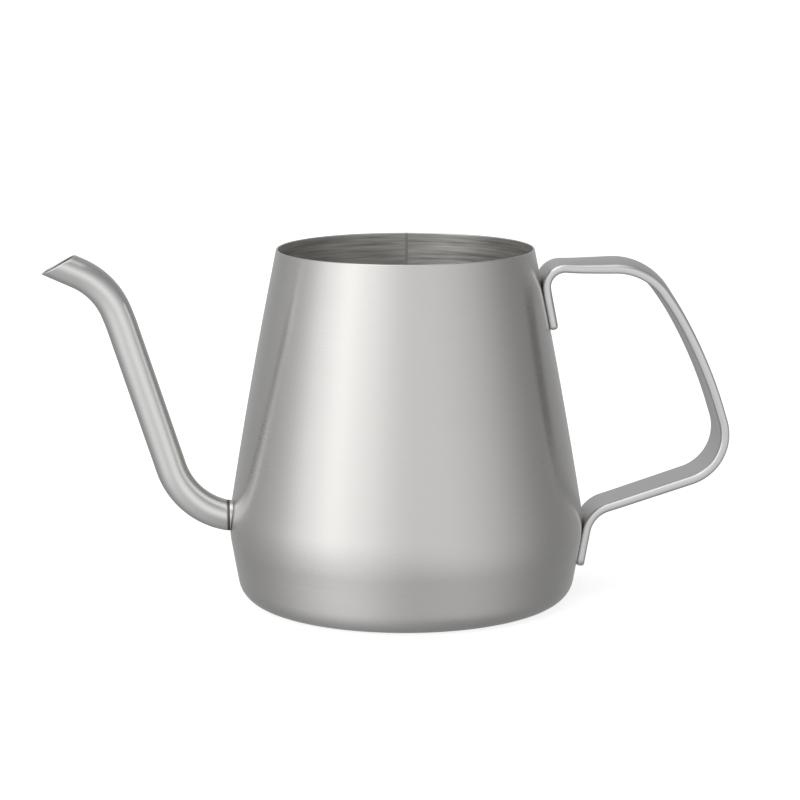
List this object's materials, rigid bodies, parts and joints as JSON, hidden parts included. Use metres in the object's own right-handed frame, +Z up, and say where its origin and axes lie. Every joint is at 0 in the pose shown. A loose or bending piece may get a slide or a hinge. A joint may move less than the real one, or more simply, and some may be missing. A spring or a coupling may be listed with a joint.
{
  "type": "gooseneck kettle",
  "caption": "Open-topped stainless steel pour-over kettle: conical body on a rounded base, a thin swan-neck spout and a flat bar handle.",
  "frame": {"origin": "middle of the flat underside of the base, on the body's axis", "axes": "+Z up out of the mouth, +X from the body's axis towards the handle, so the spout points to -X; the kettle is even about the XZ plane"},
  "size_m": [0.1775, 0.0922, 0.092],
  "materials": {
    "brushed_sheet": "stainless sheet, brushed round the body",
    "ground_weld": "weld bead ground flush",
    "satin_tube": "stainless tube, fine satin polish",
    "satin_bar": "stainless bar, satin along its length",
    "bare_weld": "unground weld with a dull heat tint"
  },
  "bodies": {
    "root": {"body_shell": "brushed_sheet", "base_pan": "brushed_sheet", "body_seam_weld": "ground_weld", "base_seam_weld": "ground_weld", "spout_neck": "satin_tube", "spout_tube": "satin_tube", "spout_weld_ring": "bare_weld", "handle_bar": "satin_bar", "upper_spot_weld_1": "bare_weld", "upper_spot_weld_2": "bare_weld", "lower_spot_weld_1": "bare_weld", "lower_spot_weld_2": "bare_weld"}
  },
  "joints": []
}
